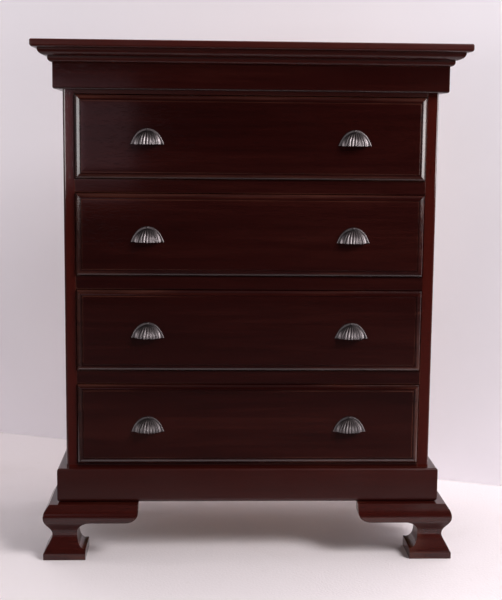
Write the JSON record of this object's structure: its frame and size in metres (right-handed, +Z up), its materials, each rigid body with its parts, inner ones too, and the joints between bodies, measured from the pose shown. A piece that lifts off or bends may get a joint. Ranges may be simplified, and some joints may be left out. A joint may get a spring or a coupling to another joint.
{
  "type": "chest of drawers",
  "caption": "Tall chest of full width drawers with moulded fronts and fluted cup pulls, under a deep frieze and stepped cornice, on a plinth with ogee bracket feet.",
  "frame": {"origin": "on the floor under the middle of the chest, centre of the bounding box's bottom", "axes": "+Z up, the drawers face -Y, +X to the right of someone who faces the drawers"},
  "size_m": [1.002, 0.505, 1.2155],
  "materials": {
    "mahogany": "dark red brown mahogany under a clear gloss lacquer",
    "secondary_wood": "plain unfinished wood of the hidden boards and drawer boxes",
    "pewter": "aged silver coloured cast metal, bright on the ribs and dark in the hollows"
  },
  "bodies": {
    "carcass": {"top_board": "mahogany", "cornice_front": "mahogany", "frieze_front": "mahogany", "plinth_front": "mahogany", "cornice_left": "mahogany", "frieze_left": "mahogany", "plinth_left": "mahogany", "cornice_right": "mahogany", "frieze_right": "mahogany", "plinth_right": "mahogany", "plinth_back": "secondary_wood", "stile_left": "mahogany", "side_panel_left": "mahogany", "stile_right": "mahogany", "side_panel_right": "mahogany", "top_rail": "mahogany", "bottom_rail": "mahogany", "bottom_board": "secondary_wood", "back_panel": "secondary_wood", "drawer_rail_1": "mahogany", "runner_1_left": "secondary_wood", "runner_1_right": "secondary_wood", "drawer_rail_2": "mahogany", "runner_2_left": "secondary_wood", "runner_2_right": "secondary_wood", "drawer_rail_3": "mahogany", "runner_3_left": "secondary_wood", "runner_3_right": "secondary_wood", "foot_front_left": "mahogany", "foot_front_right": "mahogany", "foot_back_left": "mahogany", "foot_back_right": "mahogany"},
    "drawer_1": {"drawer_1_front": "mahogany", "drawer_1_left": "secondary_wood", "drawer_1_right": "secondary_wood", "drawer_1_back": "secondary_wood", "drawer_1_bottom": "secondary_wood", "pull_1_left": "pewter", "pull_1_right": "pewter"},
    "drawer_2": {"drawer_2_front": "mahogany", "drawer_2_left": "secondary_wood", "drawer_2_right": "secondary_wood", "drawer_2_back": "secondary_wood", "drawer_2_bottom": "secondary_wood", "pull_2_left": "pewter", "pull_2_right": "pewter"},
    "drawer_3": {"drawer_3_front": "mahogany", "drawer_3_left": "secondary_wood", "drawer_3_right": "secondary_wood", "drawer_3_back": "secondary_wood", "drawer_3_bottom": "secondary_wood", "pull_3_left": "pewter", "pull_3_right": "pewter"},
    "drawer_4": {"drawer_4_front": "mahogany", "drawer_4_left": "secondary_wood", "drawer_4_right": "secondary_wood", "drawer_4_back": "secondary_wood", "drawer_4_bottom": "secondary_wood", "pull_4_left": "pewter", "pull_4_right": "pewter"}
  },
  "joints": [
    {"name": "drawer_1_slide", "type": "slide", "parent": "carcass", "child": "drawer_1", "axis": [0, -1, 0], "range_m": [0, 0.3]},
    {"name": "drawer_2_slide", "type": "slide", "parent": "carcass", "child": "drawer_2", "axis": [0, -1, 0], "range_m": [0, 0.3]},
    {"name": "drawer_3_slide", "type": "slide", "parent": "carcass", "child": "drawer_3", "axis": [0, -1, 0], "range_m": [0, 0.3]},
    {"name": "drawer_4_slide", "type": "slide", "parent": "carcass", "child": "drawer_4", "axis": [0, -1, 0], "range_m": [0, 0.3]}
  ]
}
